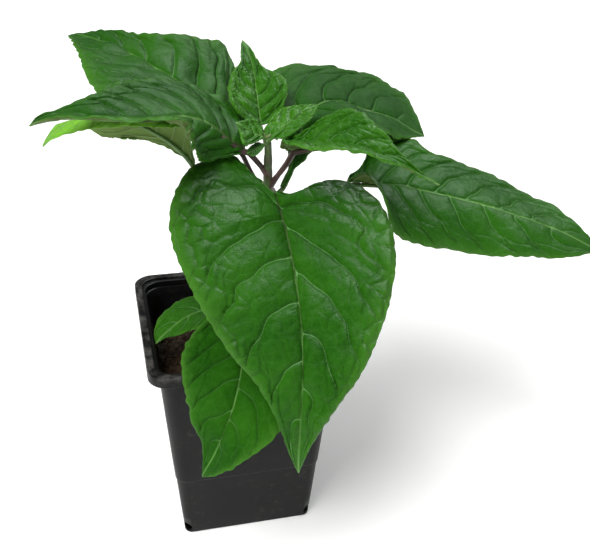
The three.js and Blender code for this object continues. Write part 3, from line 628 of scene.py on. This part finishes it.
class Nodes:
    """A short way to write the nodes of a material or a world. Colours are red, green and blue."""

    def __init__(self, name, world=False):
        self.owner = (bpy.data.worlds if world else bpy.data.materials).new(name)
        self.owner.use_nodes = True
        self.tree = self.owner.node_tree

    def fill(self, node, sockets):
        """Link or set a node's sockets."""
        for key, value in sockets.items():
            if isinstance(value, bpy.types.NodeSocket):
                self.tree.links.new(value, node.inputs[key])
            else:
                node.inputs[key].default_value = value

    def add(self, kind, sockets=None, **settings):
        node = self.tree.nodes.new(kind)
        for key, value in settings.items():
            setattr(node, key, value)
        self.fill(node, sockets or {})
        return node

    def value(self, name):
        return self.add("ShaderNodeAttribute", attribute_name=name).outputs["Fac"]

    def noise(self, scale, detail=3, roughness=0.55, stretch=None):
        where = self.add("ShaderNodeTexCoord").outputs["Object"]
        if stretch:
            where = self.add("ShaderNodeMapping", {"Vector": where, "Scale": stretch}).outputs["Vector"]
        sockets = {"Vector": where, "Scale": scale, "Detail": detail, "Roughness": roughness}
        return self.add("ShaderNodeTexNoise", sockets).outputs["Fac"]

    def spread(self, value, low, high, to_low=0.0, to_high=1.0, **settings):
        names = ("Value", "From Min", "From Max", "To Min", "To Max")
        sockets = dict(zip(names, (value, low, high, to_low, to_high)))
        return self.add("ShaderNodeMapRange", sockets, **settings).outputs["Result"]

    def clouds(self, scale, detail=3, low=0.35, high=0.65, **texture):
        """Noise that reaches 0 and 1."""
        return self.spread(self.noise(scale, detail, **texture), low, high)

    def maths(self, operation, a, b, clamp=True):
        """A sum kept between 0 and 1, unless clamp is off."""
        node = self.add("ShaderNodeMath", {0: a, 1: b}, operation=operation, use_clamp=clamp)
        return node.outputs["Value"]

    def times(self, a, b):
        return self.maths("MULTIPLY", a, b)

    def line(self, distance, width):
        """1 on a line and 0 beyond a width to either side of it."""
        return self.spread(self.maths("ABSOLUTE", distance, 0, False), 0, width, 1, 0)

    def blend(self, share, a, b):
        a, b = (end if isinstance(end, bpy.types.NodeSocket) else (*end, 1) for end in (a, b))
        node = self.add("ShaderNodeMix", {0: share, 6: a, 7: b}, data_type="RGBA", clamp_factor=True)
        return node.outputs[2]

    def coats(self, colour, *coats):
        """A colour with others laid over it, each by its share."""
        for share, coat in coats:
            colour = self.blend(share, colour, coat)
        return colour

    def relief(self, *layers):
        """Bumps laid on one another, each a height, a strength and a distance."""
        below = {}
        for height, strength, distance in layers:
            sockets = {"Height": height, "Strength": strength, "Distance": distance * MM}
            below = {"Normal": self.add("ShaderNodeBump", sockets | below).outputs["Normal"]}
        return below["Normal"]

    def finish(self, colour, roughness, shine, sockets):
        sockets |= {"Base Color": colour, "Roughness": roughness, "Specular IOR Level": shine}
        self.fill(self.tree.nodes["Principled BSDF"], sockets)
        return self.owner


def vein_distances(n):
    """Distances in mm to the nearest side vein, its loop (below 0 inside it) and the nearest panel edge."""
    side = n.maths("DIVIDE", n.maths("PINGPONG", n.value("phase"), 0.5, False), n.value("pace"), False)
    return side, n.value("loop"), n.value("wide")


def net_distance(n, size):
    """The distance to the lines of an irregular net in the blade's plane, as a share of its cells' size."""
    place = n.add("ShaderNodeCombineXYZ", {"X": n.value("lengthwise"), "Y": n.value("across")})
    sockets = {"Vector": place.outputs["Vector"], "Scale": 1 / size, "Randomness": 0.9}
    net = n.add("ShaderNodeTexVoronoi", sockets, feature="DISTANCE_TO_EDGE", voronoi_dimensions="2D")
    return net.outputs["Distance"]


def vein_lines(n):
    """The side veins, the loops, the panels' edges and the net between, each 0 to 1."""
    side, loop, wide = vein_distances(n)
    taper = n.spread(n.value("reach"), 0, 1, SIDE_VEIN_HALF, 0.4 * SIDE_VEIN_HALF)
    main = n.spread(n.maths("DIVIDE", side, taper, False), 0, 1, 1, 0)
    edges = n.times(n.line(wide, CELL_VEIN_HALF), n.value("webbed"))
    return main, n.line(loop, LOOP_VEIN_HALF), edges, n.line(net_distance(n, NET_SIZE), 0.06)


def vein_valleys(n):
    """1 at the bottom of the valley along each vein and panel edge, falling to 0 on the panels."""
    side, loop, wide = (n.line(gap, half) for gap, half in zip(vein_distances(n), VALLEY_HALVES))
    edges = n.maths("MAXIMUM", n.times(loop, 0.4), n.times(wide, n.value("webbed")))
    return n.maths("MAXIMUM", side, edges)


def leaf_top():
    """Grown leaves are deep green with pale fine veins; young ones are bright yellow-green. Painted light:
    brighter below age 0 for light shining through, darker above age 1 and in grooves for shade, and a paler
    net on young leaves for sheen.
    """
    n = Nodes("leaf_top")
    main, loop, wide, net = vein_lines(n)
    age_and_painted_light, matt = n.value("age_and_painted_light"), n.value("matt")
    patch = n.clouds(38)
    grown = n.blend(patch, (0.009, 0.07, 0.0015), (0.02, 0.112, 0.003))
    fleck = n.times(n.clouds(420, 2, 0.3, 0.7), 0.35)
    young = n.blend(patch, (0.032, 0.15, 0.003), (0.06, 0.21, 0.007))
    # Painted shade: panel edges and loops are painted darker green where their grooves lie in shade.
    groove = n.maths("MAXIMUM", n.times(wide, 0.4), n.times(loop, 0.25))
    pale = n.times(n.spread(n.value("reach"), 0, 1, 0.85, 0.25), n.spread(matt, 0, 1, 1, 0.45))
    middle = n.line(n.value("across"), MIDRIB_HALF)
    green = n.coats(
        n.blend(age_and_painted_light, young, n.blend(fleck, grown, (0.03, 0.135, 0.008))),
        # Painted light shining through: below age 0 the blade is painted bright yellow-green.
        (n.times(age_and_painted_light, -1.0), (0.2, 0.5, 0.04)),
        # Painted shade: above age 1 the blade is painted darker green.
        (n.maths("SUBTRACT", age_and_painted_light, 1.0), (0.003, 0.035, 0.001)),
        # The pale net is the fine veins' own colour, painted stronger on younger leaves as painted sheen.
        (n.times(net, n.spread(age_and_painted_light, 0.3, 1, 0.75, 0.1)), (0.1, 0.26, 0.07)),
        # Painted shade in the grooves.
        (n.times(groove, age_and_painted_light), (0.008, 0.045, 0.002)),
        (n.times(main, pale), (0.15, 0.34, 0.11)),
        (n.times(n.value("margin"), 0.4), (0.1, 0.28, 0.035)),
        (n.times(middle, 0.8), n.blend(n.value("purple"), (0.15, 0.33, 0.08), (0.045, 0.025, 0.02))),
    )
    small = n.maths("ADD", n.times(loop, 0.25), n.times(wide, 0.4))
    ridges = n.maths("ADD", n.times(main, 0.8), small)
    normal = n.relief(
        (n.maths("SUBTRACT", 1.0, vein_valleys(n)), 0.6, 0.45),
        (n.maths("SUBTRACT", 1.0, ridges), 0.7, 0.3),
        (n.spread(net_distance(n, NET_SIZE), 0, 0.25), 0.5, 0.16),
        (n.spread(net_distance(n, PEBBLE_SIZE), 0, 0.35), 0.5, 0.09),
        (n.noise(300), 0.25, 0.3),
    )
    rough = n.maths("ADD", n.spread(n.noise(120), 0.3, 0.7, 0.42, 0.52), n.times(matt, 0.18))
    return n.finish(green, rough, 0.13, {"Normal": normal})


def leaf_underside():
    """The underside is paler, greyer and duller, with raised pale veins."""
    n = Nodes("leaf_underside")
    main, loop, wide, net = vein_lines(n)
    patch = n.clouds(45)
    grown = n.blend(patch, (0.07, 0.125, 0.03), (0.1, 0.165, 0.045))
    young = n.blend(patch, (0.12, 0.2, 0.05), (0.16, 0.26, 0.075))
    green = n.coats(
        n.blend(n.value("age_and_painted_light"), young, grown),
        (n.times(net, 0.25), (0.14, 0.22, 0.07)),
        (n.times(n.maths("MAXIMUM", loop, wide), 0.4), (0.17, 0.25, 0.09)),
        (n.times(main, 0.7), (0.2, 0.29, 0.12)),
    )
    raised = n.maths("ADD", n.times(main, 0.8), n.times(loop, 0.4))
    normal = n.relief((raised, 0.7, 0.3), (net, 0.4, 0.12), (n.noise(300), 0.3, 0.4))
    rough = n.spread(n.noise(140, 2), 0.3, 0.7, 0.7, 0.85)
    return n.finish(green, rough, 0.05, {"Normal": normal})


def stalk_skin():
    """Stalks run from green to purple-brown, with a paler stripe along the channel on top."""
    n = Nodes("stalk_skin")
    streak = n.clouds(160)
    green = n.blend(streak, (0.06, 0.15, 0.03), (0.12, 0.24, 0.06))
    purple = n.blend(streak, (0.035, 0.018, 0.016), (0.085, 0.045, 0.04))
    stripe = n.times(n.value("stripe"), 0.5)
    colour = n.coats(green, (n.value("purple"), purple), (stripe, (0.26, 0.22, 0.2)))
    normal = n.relief((n.noise(500), 0.3, 0.2))
    return n.finish(colour, n.spread(streak, 0, 1, 0.38, 0.5), 0.5, {"Normal": normal})


def stem_skin():
    """The stem is olive green, streaked and flushed with purple at its nodes."""
    n = Nodes("stem_skin")
    streak = n.clouds(60, 4, roughness=0.6, stretch=(6, 6, 1))
    green = n.blend(streak, (0.04, 0.075, 0.018), (0.095, 0.15, 0.045))
    colour = n.blend(n.times(n.value("purple"), 0.7), green, (0.06, 0.03, 0.028))
    normal = n.relief((n.noise(90, 4, 0.6, (7, 7, 1)), 0.4, 0.3))
    return n.finish(colour, n.spread(streak, 0, 1, 0.4, 0.55), 0.45, {"Normal": normal})


def pot_plastic():
    """Satin black plastic: soft moulding texture, dusty patches, and a paler rim edge that is partly real
    wear and partly a painted highlight.
    """
    n = Nodes("pot_plastic")
    cloud = n.clouds(28, 5, 0.4, 0.7)
    dust = n.times(n.clouds(240, 6, 0.55, 0.72, roughness=0.7), cloud)
    # The rim's top edge is painted paler: partly real wear, partly a painted highlight.
    worn_and_highlight = n.times(n.value("wear_and_highlight"), n.clouds(150, 5, 0.42, 0.62, roughness=0.65))
    colour = n.coats(
        n.blend(cloud, (0.0045, 0.0045, 0.005), (0.0075, 0.0075, 0.0075)),
        (n.times(dust, 0.5), (0.085, 0.078, 0.068)),
        (n.times(worn_and_highlight, 0.6), (0.13, 0.125, 0.12)),
    )
    scratch = n.clouds(60, 6, 0.6, 0.66, roughness=0.7, stretch=(1, 1, 14))
    normal = n.relief((n.noise(900), 0.22, 0.12), (scratch, 0.12, 0.1))
    rough = n.blend(n.times(dust, 0.8), (0.4, 0.4, 0.4), (0.62, 0.62, 0.62))
    return n.finish(colour, rough, 0.16, {"Normal": normal})


def soil_crumb():
    """Dark brown peat: black pores, brown crumbs and a few pale fibres."""
    n = Nodes("soil_crumb")
    brown = n.blend(n.clouds(330, 5, 0.3, 0.7, roughness=0.7), (0.014, 0.009, 0.006), (0.07, 0.046, 0.028))
    colour = n.blend(n.clouds(700, 3, 0.62, 0.7), brown, (0.14, 0.1, 0.065))
    normal = n.relief((n.noise(1200, 4, 0.7), 0.8, 0.5))
    return n.finish(colour, 0.95, 0.2, {"Normal": normal})


def floor_paper():
    """White paper with the faintest mottling."""
    n = Nodes("floor_paper")
    colour = n.blend(n.clouds(3, 2, 0.3, 0.7), (0.9, 0.9, 0.9), (0.92, 0.92, 0.915))
    return n.finish(colour, 0.9, 0.1, {"Emission Color": (1, 1, 1, 1), "Emission Strength": FLOOR_GLOW})


def backdrop_paper():
    """An evenly lit pale wall behind the floor's far edge."""
    glow = {"Emission Color": (1, 1, 1, 1), "Emission Strength": 1.0}
    return Nodes("backdrop_paper").finish((0, 0, 0, 1), 1.0, 0.0, glow)


# Pieces


def scale_leaf(order, turn):
    """A small leaf still folded over the growing point."""
    around = math.radians(turn)
    length = 5.5 - 0.5 * order
    half = [(0, 0.4), (1.5, 1.6), (3.2, 1.3)]
    return dict(
        root=192, base=(14.3 + 0.8 * math.cos(around), 0.8 * math.sin(around), 192.5),
        length=length, width=4, rows=5, quilt=0.15, age_and_painted_light=0, purple=0,
        heading=[turn, turn + 10], pitch=[62, 48 + 5 * order], roll=[0, 6],
        fold=([35], [35]), curl=([10], [10]), left=half, right=half,
    )


def make_shoot_tip(materials):
    """Young crinkled leaves round the growing point, with a few scale leaves still folded in it."""
    parts = []
    for k, leaf in enumerate(YOUNG_LEAVES):
        parts += [blade_mesh(leaf, 90, 28, 70 + k), stalk_mesh(leaf)]
    for k, turn in enumerate(BUD_TURNS):
        parts.append(blade_mesh(scale_leaf(k, turn), 30, 10, 90 + k))
    return make_object("young_leaves", materials, *joined(parts))


def make_stem(material):
    """A tapering stem with five soft ribs, swollen where each leaf leaves it."""
    t = np.linspace(0, 1, STEM_STEPS)
    path = through_points(STEM_PATH, t)
    node, scar = (
        sum(np.exp(-(((path[:, 2] - z - rise) / length) ** 2)) for z in STEM_NODES)
        for rise, length in ((0, NODE_LENGTH), (SCAR_RISE, SCAR_LENGTH))
    )
    path = path + np.stack([waves(path[:, 2:], 34, 5), waves(path[:, 2:], 30, 6), t * 0], -1) * 0.12
    ups = np.tile((0, 1.0, 0.0), (STEM_STEPS, 1))
    vertices, faces, _ = tube(path, through(STEM_RADII, t), ups, STEM_SIDES)
    ring = np.append(np.repeat(np.arange(STEM_STEPS), STEM_SIDES), [0, STEM_STEPS - 1])
    centre, node, scar = path[ring], node[ring], scar[ring]
    spoke = vertices - centre
    angle = np.arctan2(spoke[:, 1], spoke[:, 0])
    swell = 1 + 0.05 * np.cos(STEM_RIBS * angle) + 0.09 * np.minimum(node, 1) - 0.05 * np.minimum(scar, 1)
    swell += 0.02 * waves(np.stack([angle * 3, vertices[:, 2] / 2], -1), 2.0, 8)
    vertices = centre + spoke * swell[:, None]
    purple = np.clip(node * 0.8 + 0.2 * waves(vertices, 8, 9), 0, 1)
    return make_object("stem_fine", [material], vertices, faces, values={"purple": purple})


def pot_half_side(z):
    top = RIM_SIDE / 2 - RIM_OVERHANG
    share = z / (POT_HEIGHT - RIM_SKIRT)
    step = STACK_LINE_STEP if z > STACK_LINE_HEIGHT else 0
    return BASE_SIDE / 2 + (top - BASE_SIDE / 2 - STACK_LINE_STEP) * share + step


def inside_half_side(z):
    top = POT_HEIGHT - LEDGE_DROP - LEDGE_SLOPE
    low, high = pot_half_side(FLOOR) - WALL, pot_half_side(top) - WALL
    return low + (high - low) * (z - FLOOR) / (top - FLOOR)


def pot_corner(half, z):
    """The corner's radius at a height, smaller for a ring inside the rim's side."""
    return BASE_CORNER + (RIM_CORNER - BASE_CORNER) * z / POT_HEIGHT - (RIM_SIDE / 2 - half) * CORNER_SHARE


def square_ring(half, corner, z):
    """A rounded square at one height, anticlockwise from above, with points along its sides too."""
    inner = half - corner
    angle = np.radians(np.linspace(0, 90, CORNER_STEPS + 1))
    bend = np.stack([np.cos(angle), np.sin(angle)], -1) * corner + inner
    side = [(x, half) for x in np.linspace(inner, -inner, SIDE_STEPS + 1)[1:-1]]
    quarters = [np.vstack([bend, side])]
    for _ in range(3):
        quarters.append(quarters[-1][:, ::-1] * (-1, 1))
    flat = np.vstack(quarters)
    return np.column_stack([flat, np.full(len(flat), z)])


def rounded(profile):
    """The profile's corners softened with points before and after each, (half side, height) in mm."""
    points = np.array(profile, float)
    soft = []
    for k, point in enumerate(points):
        before, after = points[k - 1] - point, points[(k + 1) % len(points)] - point
        cut = min(EDGE_ROUND, 0.4 * np.linalg.norm(before), 0.4 * np.linalg.norm(after))
        a, b = point + unit(before) * cut, point + unit(after) * cut
        for t in (0, 0.25, 0.5, 0.75, 1):
            soft.append(a * (1 - t) ** 2 + 2 * point * t * (1 - t) + b * t * t)
    return soft


def make_pot(material):
    """One wall turned over at the rim, round the base and up inside, with a drain hole at each corner."""
    rim = RIM_SIDE / 2
    flange = rim - RIM_FLANGE
    neck = POT_HEIGHT - RIM_SKIRT
    ledge = POT_HEIGHT - LEDGE_DROP
    slope_foot = ledge - LEDGE_SLOPE
    line = STACK_LINE_HEIGHT
    profile = [(pot_half_side(0) - BASE_CHAMFER, 0), (pot_half_side(0), BASE_CHAMFER)]
    profile += [(pot_half_side(z), z) for z in (12, 24, line, line + STACK_LINE_BEVEL, 52, 66, 80, 92, neck)]
    profile += [
        (pot_half_side(neck), POT_HEIGHT - WALL - SKIRT_FILLET), (rim - WALL, POT_HEIGHT - WALL),
        (rim - WALL, neck), (rim, neck), (rim, POT_HEIGHT), (flange, POT_HEIGHT),
        (flange - LEDGE_DRAFT, ledge), (flange - LEDGE_DRAFT - LEDGE_WIDTH, ledge - LEDGE_FALL),
    ]
    profile += [(inside_half_side(z), z) for z in (slope_foot, 60, FLOOR)]
    points = rounded(profile)
    rings = [square_ring(half, pot_corner(half, z), z) for half, z in points]
    vertices = np.vstack(rings + [np.array([[0, 0, 0.0], [0, 0, FLOOR]])])
    faces = ring_faces(len(rings), len(rings[0]))
    height = vertices[:, 2]
    sway = waves(vertices, 60, 31) * WALL_SWAY * np.clip(height / 30, 0, 1)
    sway *= np.clip((POT_HEIGHT - 12 - height) / 10, 0, 1)
    vertices = vertices + unit(vertices * (1, 1, 0) + 1e-6) * sway[:, None]
    reach = np.abs(vertices[:, :2]).max(axis=1)
    # A band along the rim's top edge, painted paler in the plastic: partly real wear, partly a painted
    # highlight.
    wear_and_highlight = np.clip(height - POT_HEIGHT + 1.2, 0, 1) * np.clip(reach - flange + 1, 0, 1)
    pot = make_object("pot_fine", [material], vertices, faces, values={"wear_and_highlight": wear_and_highlight})
    for sx, sy in ((1, 1), (-1, 1), (-1, -1), (1, -1)):
        cut_drain(pot, sx, sy)
    return pot


def cut_drain(pot, sx, sy):
    """A round hole through one corner of the base, a little higher outside than inside."""
    reaches = (BASE_SIDE / 2 - DRAIN_INSET, BASE_SIDE / 2 + DRAIN_REACH)
    path = np.array([(sx * reach, sy * reach, z) for reach, z in zip(reaches, DRAIN_HEIGHTS)], float)
    ups = np.tile((0, 0, 1.0), (2, 1))
    vertices, faces, _ = tube(path, np.full(2, DRAIN_RADIUS), ups, DRAIN_SIDES)
    cutter = make_object("drain_cut", [pot.data.materials[0]], vertices, faces)
    cut = pot.modifiers.new("drain", "BOOLEAN")
    cut.operation = "DIFFERENCE"
    cut.solver = "EXACT"
    cut.object = cutter
    with bpy.context.temp_override(object=pot, active_object=pot, selected_objects=[pot]):
        bpy.ops.object.modifier_apply(modifier=cut.name)
    bpy.data.objects.remove(cutter, do_unlink=True)


def soil_height(x, y):
    place = np.stack([x, y], -1)
    bumps = sum(waves(place, length, seed) * rise for length, rise, seed in SOIL_BUMPS)
    return SOIL_LEVEL + SOIL_SWELL + bumps


def make_soil(material):
    """A lumpy soil surface that fills the pot, with loose crumbs and bits of fibre on it."""
    half = inside_half_side(SOIL_LEVEL) - SOIL_GAP
    corner = pot_corner(half, SOIL_LEVEL)
    u = np.linspace(-1, 1, SOIL_GRID)
    gx, gy = np.meshgrid(u, u, indexing="ij")
    far, near = np.maximum(np.abs(gx), np.abs(gy)), np.minimum(np.abs(gx), np.abs(gy))
    corner_cut = 1 - (1 - math.sqrt(0.5)) * corner / half * near**4 * far * 1.4
    x, y = gx * half * corner_cut, gy * half * corner_cut
    top = np.stack([x, y, soil_height(x, y) - 1.2 * far**8], -1).reshape(-1, 3)
    base = FLOOR + 0.3
    base_share = (inside_half_side(base) - 0.5) / half
    quads, ring = grid_faces(np.arange(SOIL_GRID**2).reshape(SOIL_GRID, SOIL_GRID).T)
    low = top[ring] * (base_share, base_share, 0) + (0, 0, base)
    lower = np.arange(len(ring)) + len(top)
    skirt = np.stack([ring, lower, np.roll(lower, -1), np.roll(ring, -1)], -1)
    middle = np.full(len(ring), len(top) + len(ring))
    underside = np.stack([np.roll(lower, -1), lower, middle, middle], -1)
    faces = np.vstack([quads, skirt, underside])
    parts = [(np.vstack([top, low, [[0, 0, base]]]), faces, np.zeros(len(faces)), {})]
    rng = np.random.default_rng(CRUMB_SEED)
    for _ in range(CRUMBS):
        parts.append(crumb(rng, half - CRUMB_MARGIN))
    return make_object("soil_fine", [material], *joined(parts))


def crumb(rng, half):
    """One irregular crumb of peat or short fibre lying on the soil."""
    size = rng.uniform(0.35, 1.5) * rng.uniform(0.6, 1.15)
    is_fibre = rng.random() < FIBRE_SHARE
    stretch = np.array(FIBRE_SHAPE) if is_fibre else rng.uniform(0.6, 1.3, 3) * size
    shape = bmesh.new()
    bmesh.ops.create_icosphere(shape, subdivisions=1 if is_fibre or size < 0.8 else 2, radius=1)
    points = np.array([v.co[:] for v in shape.verts])
    faces = np.array([[v.index for v in f.verts] + [f.verts[2].index] for f in shape.faces])
    shape.free()
    lumps = waves(points * 1.2 + rng.uniform(-9, 9, 3), 1.6, int(rng.integers(1e6)), 6)
    turn = Matrix.Rotation(rng.uniform(0, 6.28), 3, "Z") @ Matrix.Rotation(rng.uniform(-0.4, 0.4), 3, "X")
    points = (points * (1 + CRUMB_LUMPS * lumps)[:, None] * stretch) @ np.array(turn).T
    x, y = rng.uniform(-half, half, 2)
    points += (x, y, float(soil_height(np.array(x), np.array(y))) + 0.25 * stretch[2])
    return points, faces, np.zeros(len(faces)), {}


# Stage


def make_floor(material):
    corners = [(x * FLOOR_REACH, y * FLOOR_REACH, 0) for x, y in ((-1, -1), (1, -1), (1, 1), (-1, 1))]
    make_object("floor", [material], corners, [[0, 1, 2, 3]])


def make_backdrop(material):
    """A round wall far off, seen only directly: it neither lights the plant nor shows in its gloss."""
    angle = 2 * math.pi * np.arange(BACKDROP_SIDES) / BACKDROP_SIDES
    around = np.stack([np.cos(angle), np.sin(angle)], -1) * BACKDROP_RADIUS
    low, high = (np.column_stack([around, np.full(BACKDROP_SIDES, z)]) for z in BACKDROP_HEIGHTS)
    index = np.arange(BACKDROP_SIDES)
    after = np.roll(index, -1)
    faces = np.stack([index, index + BACKDROP_SIDES, after + BACKDROP_SIDES, after], -1)
    wall = make_object("backdrop", [material], np.vstack([low, high]), faces)
    wall.visible_diffuse = wall.visible_glossy = wall.visible_transmission = wall.visible_shadow = False


def add_light(name, place, strength, colour):
    """A soft sun that shines on the plant from the side of a place."""
    lamp = bpy.data.lights.new(name, "SUN")
    lamp.angle = math.radians(LAMP_WIDTH)
    lamp.energy = strength
    lamp.color = colour
    light = bpy.data.objects.new(name, lamp)
    bpy.context.scene.collection.objects.link(light)
    x, y, z = place
    light.location = np.array(place) * MM
    light.rotation_euler = (math.atan2(math.hypot(x, y), z), 0, math.atan2(x, -y))
    return light


def light_studio():
    """A sky that glows overhead, a soft key light and a window that only shows as sheen."""
    scene = bpy.context.scene
    scene.view_settings.view_transform = "Standard"
    n = Nodes("studio", world=True)
    scene.world = n.owner
    split = n.add("ShaderNodeSeparateXYZ", {"Vector": n.add("ShaderNodeTexCoord").outputs["Generated"]})
    ends = (GLOW_FROM, GLOW_TO, GLOW_LOW, GLOW_HIGH)
    glow = n.spread(split.outputs["Z"], *ends, interpolation_type="SMOOTHSTEP")
    n.fill(n.tree.nodes["Background"], {"Color": (1, 1, 1, 1), "Strength": glow})
    key = add_light("key", place=(-480, -420, 850), strength=3.2, colour=(1, 1, 0.98))
    key.visible_glossy = False
    window = add_light("window", place=(480, 220, 980), strength=5.2, colour=(0.93, 0.97, 1))
    window.visible_diffuse = False


def add_camera():
    """The photograph's camera, 30 degrees above the plant and a little to its left."""
    lens = bpy.data.cameras.new("camera")
    lens.sensor_width = SENSOR_WIDTH
    lens.lens = LENS
    camera = bpy.data.objects.new("camera", lens)
    bpy.context.scene.collection.objects.link(camera)
    yaw, pitch, roll = (math.radians(a) for a in (CAMERA_YAW, CAMERA_PITCH, CAMERA_ROLL))
    turn = Matrix.Rotation(-yaw, 4, "Z") @ Matrix.Rotation(math.pi / 2 - pitch, 4, "X")
    camera.matrix_world = Matrix.Translation(CAMERA_PLACE) @ turn @ Matrix.Rotation(roll, 4, "Z")
    bpy.context.scene.camera = camera


def main():
    surfaces = [leaf_top(), leaf_underside(), stalk_skin()]
    for k, (name, leaf) in enumerate(LEAVES.items()):
        columns = int(25 + leaf["width"] * 0.31)
        rows = int(104 + leaf["length"] * 1.15)
        parts = [blade_mesh(leaf, rows, columns, 100 + 10 * k), stalk_mesh(leaf)]
        place_piece(make_object(name + "_fine", surfaces, *joined(parts)), "grown_leaf", name)
    place_piece(make_shoot_tip(surfaces), "young_leaf", "shoot_tip")
    place_piece(make_stem(stem_skin()), "stem_skin", "stem")
    place_piece(make_pot(pot_plastic()), "pot_plastic", "pot")
    place_piece(make_soil(soil_crumb()), "potting_soil", "soil")
    make_floor(floor_paper())
    make_backdrop(backdrop_paper())
    light_studio()
    add_camera()


main()
